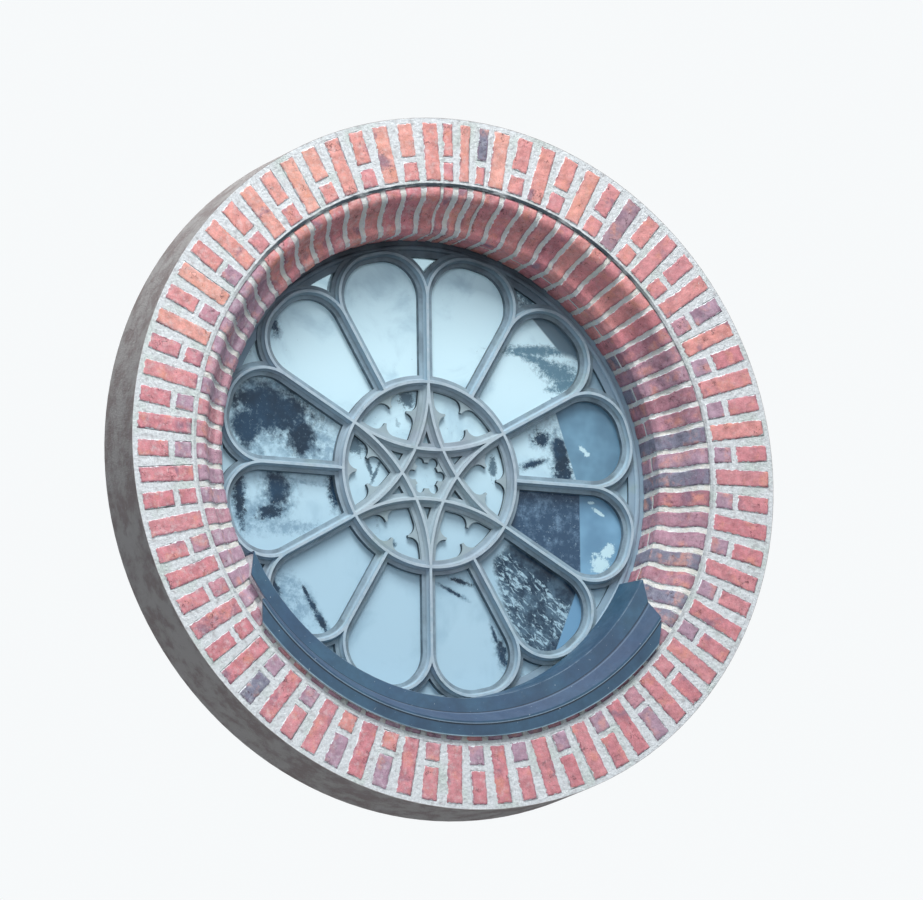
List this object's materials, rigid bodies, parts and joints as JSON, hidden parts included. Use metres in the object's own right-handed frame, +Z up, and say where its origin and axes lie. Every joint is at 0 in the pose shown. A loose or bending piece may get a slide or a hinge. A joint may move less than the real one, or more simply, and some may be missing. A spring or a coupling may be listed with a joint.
{
  "type": "oculus window",
  "caption": "Round tracery window with a cusped star hub, radiating petal lights, sheet flashing and a splayed brick surround.",
  "frame": {"origin": "centre of the round opening, on the face of the outer brick ring", "axes": "+Z up, +X to the right seen from outside, +Y into the wall towards the room"},
  "size_m": [2.0058, 0.268, 2.0058],
  "materials": {
    "brick_outer_long": "fired clay, sand faced",
    "brick_outer_header": "fired clay, sand faced",
    "brick_outer_closer": "fired clay, sand faced",
    "brick_moulded_long": "fired clay, smooth moulded face",
    "brick_moulded_short": "fired clay, smooth moulded face",
    "brick_reveal": "fired clay, weathered",
    "mortar": "lime mortar, rough",
    "joint_mortar": "lime mortar, rough",
    "haunch_mortar": "lime mortar, rough",
    "sheet_upper": "weathered slate-blue sheet, matt",
    "sheet_apron": "weathered slate-blue sheet, matt",
    "painted_rim": "painted grey-blue, weathered",
    "painted_hub": "painted grey-blue, weathered",
    "painted_star": "painted grey-blue, weathered",
    "painted_leaf": "painted grey-blue, weathered",
    "painted_spoke": "painted grey-blue, weathered",
    "painted_head": "painted grey-blue, weathered",
    "painted_bead": "painted grey-blue",
    "glass_petal": "clear sheet glass",
    "glass_spandrel": "clear sheet glass",
    "glass_hub": "clear sheet glass",
    "screw_steel": "plain steel"
  },
  "bodies": {
    "root": {"cusped_leaf_1": "painted_leaf", "cusped_leaf_2": "painted_leaf", "cusped_leaf_3": "painted_leaf", "cusped_leaf_4": "painted_leaf", "cusped_leaf_5": "painted_leaf", "cusped_leaf_6": "painted_leaf", "flashing_apron": "sheet_apron", "flashing_upper": "sheet_upper", "foiled_eye": "painted_leaf", "frame_screws": "screw_steel", "hub_bead": "painted_bead", "hub_pane": "glass_hub", "hub_ring": "painted_hub", "moulded_long_bricks": "brick_moulded_long", "moulded_ring_joints": "joint_mortar", "moulded_short_bricks": "brick_moulded_short", "outer_closers": "brick_outer_closer", "outer_header_bricks": "brick_outer_header", "outer_long_bricks": "brick_outer_long", "outer_rim": "painted_rim", "outer_ring_mortar": "mortar", "petal_beads": "painted_bead", "petal_head_01": "painted_head", "petal_head_02": "painted_head", "petal_head_03": "painted_head", "petal_head_04": "painted_head", "petal_head_05": "painted_head", "petal_head_06": "painted_head", "petal_head_07": "painted_head", "petal_head_08": "painted_head", "petal_head_09": "painted_head", "petal_head_10": "painted_head", "petal_head_11": "painted_head", "petal_head_12": "painted_head", "petal_panes": "glass_petal", "reveal_closers": "brick_reveal", "sill_haunch": "haunch_mortar", "spandrel_beads": "painted_bead", "spandrel_panes": "glass_spandrel", "spoke_01": "painted_spoke", "spoke_02": "painted_spoke", "spoke_03": "painted_spoke", "spoke_04": "painted_spoke", "spoke_05": "painted_spoke", "spoke_06": "painted_spoke", "spoke_07": "painted_spoke", "spoke_08": "painted_spoke", "spoke_09": "painted_spoke", "spoke_10": "painted_spoke", "spoke_11": "painted_spoke", "spoke_12": "painted_spoke", "star_tracery": "painted_star"}
  },
  "joints": []
}
